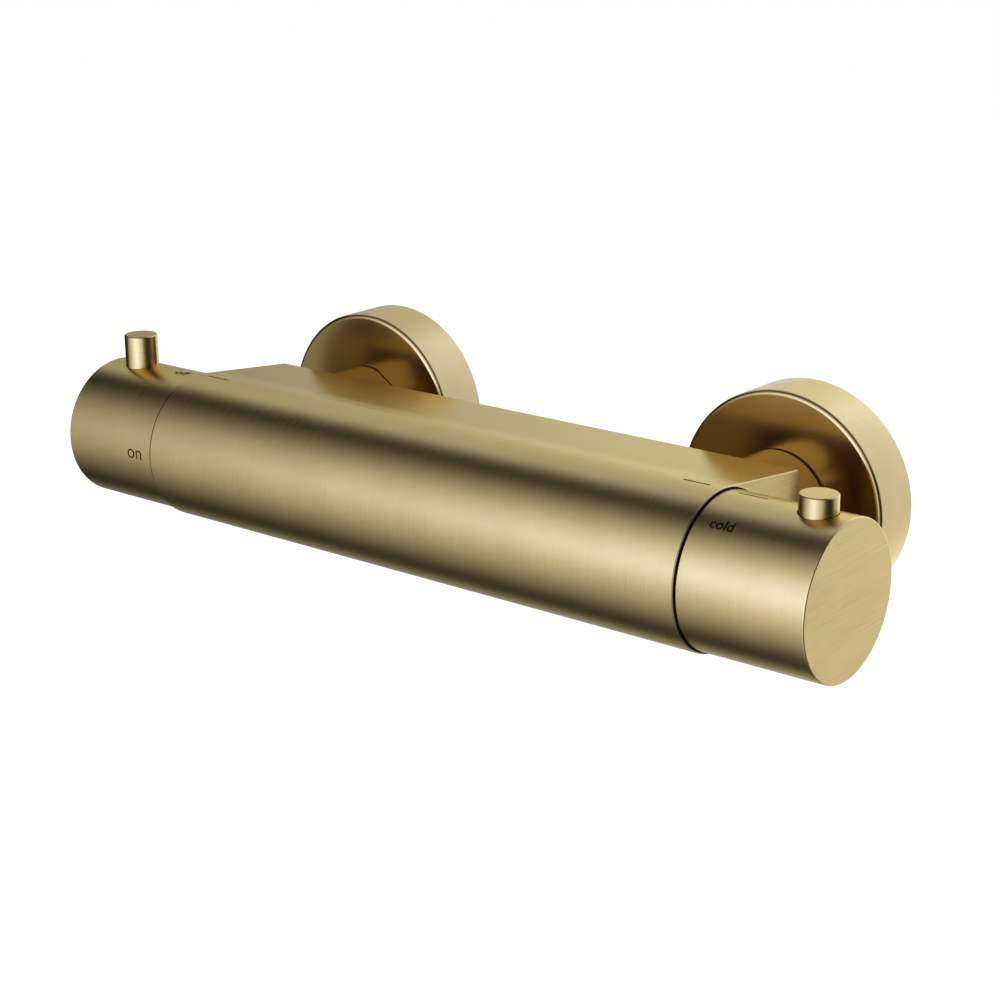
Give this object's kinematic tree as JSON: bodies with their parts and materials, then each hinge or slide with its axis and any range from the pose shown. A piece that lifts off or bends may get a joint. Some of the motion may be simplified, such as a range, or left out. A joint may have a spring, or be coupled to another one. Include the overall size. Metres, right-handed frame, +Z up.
{
  "type": "thermostatic shower mixer",
  "caption": "Wall-mounted bar mixer with a quarter-turn flow handle, a temperature handle with a safety stop button, union nuts and round wall flanges.",
  "frame": {"origin": "on the wall plane, midway between the two wall threads, at their height", "axes": "+X along the bar to the temperature handle, +Y into the wall, +Z up"},
  "size_m": [0.2578, 0.107, 0.0634],
  "materials": {
    "brushed_gold_brass": "brushed, coated",
    "plain_brass": "machined",
    "white_ceramic": "lapped",
    "black_rubber": "moulded",
    "moulded_plastic": "moulded",
    "stainless_steel": "drawn"
  },
  "bodies": {
    "mixer": {"bar_body": "brushed_gold_brass", "headwork_body": "plain_brass", "fixed_disc": "white_ceramic", "headwork_seal": "black_rubber", "headwork_o_ring": "black_rubber", "temperature_stop_ring": "moulded_plastic", "thermostat_housing": "moulded_plastic", "thermostat_o_rings": "black_rubber", "thermostat_nut": "plain_brass", "return_spring": "stainless_steel", "outlet_nipple": "plain_brass", "outlet_seal": "black_rubber", "glide_ring": "moulded_plastic", "hot_inlet_nipple": "plain_brass", "hot_check_valve": "moulded_plastic", "hot_check_spring": "stainless_steel", "hot_union_nut": "brushed_gold_brass", "hot_inlet_washer": "black_rubber", "hot_wall_connector": "plain_brass", "hot_wall_flange": "brushed_gold_brass", "hot_flange_seal": "black_rubber", "cold_inlet_nipple": "plain_brass", "cold_check_valve": "moulded_plastic", "cold_check_spring": "stainless_steel", "cold_union_nut": "brushed_gold_brass", "cold_inlet_washer": "black_rubber", "cold_wall_connector": "plain_brass", "cold_wall_flange": "brushed_gold_brass", "cold_flange_seal": "black_rubber"},
    "flow": {"flow_handle": "brushed_gold_brass", "lever_pin": "brushed_gold_brass", "flow_adaptor": "moulded_plastic", "flow_adaptor_screw": "stainless_steel", "flow_grub_screw": "stainless_steel", "headwork_spindle": "plain_brass", "moving_disc": "white_ceramic"},
    "temperature": {"temperature_handle": "brushed_gold_brass", "temperature_adaptor": "moulded_plastic", "temperature_adaptor_screw": "stainless_steel", "temperature_grub_screw": "stainless_steel", "thermostat_spindle": "plain_brass", "button_spring": "stainless_steel"},
    "button": {"stop_button": "brushed_gold_brass"},
    "regulator": {"overload_carrier": "plain_brass", "overload_plunger": "plain_brass", "overload_spring": "stainless_steel", "wax_element": "plain_brass", "regulating_shuttle": "stainless_steel"},
    "hot_poppet": {"hot_check_poppet": "moulded_plastic"},
    "cold_poppet": {"cold_check_poppet": "moulded_plastic"}
  },
  "joints": [
    {"name": "flow_turn", "type": "hinge", "parent": "mixer", "child": "flow", "pos_m": [-0.11, -0.0715, 0.0075], "axis": [-1, 0, 0], "range_deg": [0, 90]},
    {"name": "temperature_turn", "type": "hinge", "parent": "mixer", "child": "temperature", "pos_m": [0.11, -0.0715, 0.0075], "axis": [-1, 0, 0], "range_deg": [0, 40]},
    {"name": "stop_button_press", "type": "slide", "parent": "temperature", "child": "button", "axis": [0, 0, -1], "range_m": [0, 0.0025], "stiffness_N_per_m": 800, "springref_m": -0.002, "deforming": ["button_spring"]},
    {"name": "regulator_slide", "type": "slide", "parent": "mixer", "child": "regulator", "axis": [-1, 0, 0], "range_m": [0, 0.00101], "deforming": ["return_spring"]},
    {"name": "hot_check_slide", "type": "slide", "parent": "mixer", "child": "hot_poppet", "axis": [0, -1, 0], "range_m": [0, 0.003], "stiffness_N_per_m": 100, "springref_m": -0.003, "deforming": ["hot_check_spring"]},
    {"name": "cold_check_slide", "type": "slide", "parent": "mixer", "child": "cold_poppet", "axis": [0, -1, 0], "range_m": [0, 0.003], "stiffness_N_per_m": 100, "springref_m": -0.003, "deforming": ["cold_check_spring"]}
  ],
  "couplings": [
    {"joint": "regulator_slide", "follows": "temperature_turn", "m_per_rad": 0.0014324}
  ]
}
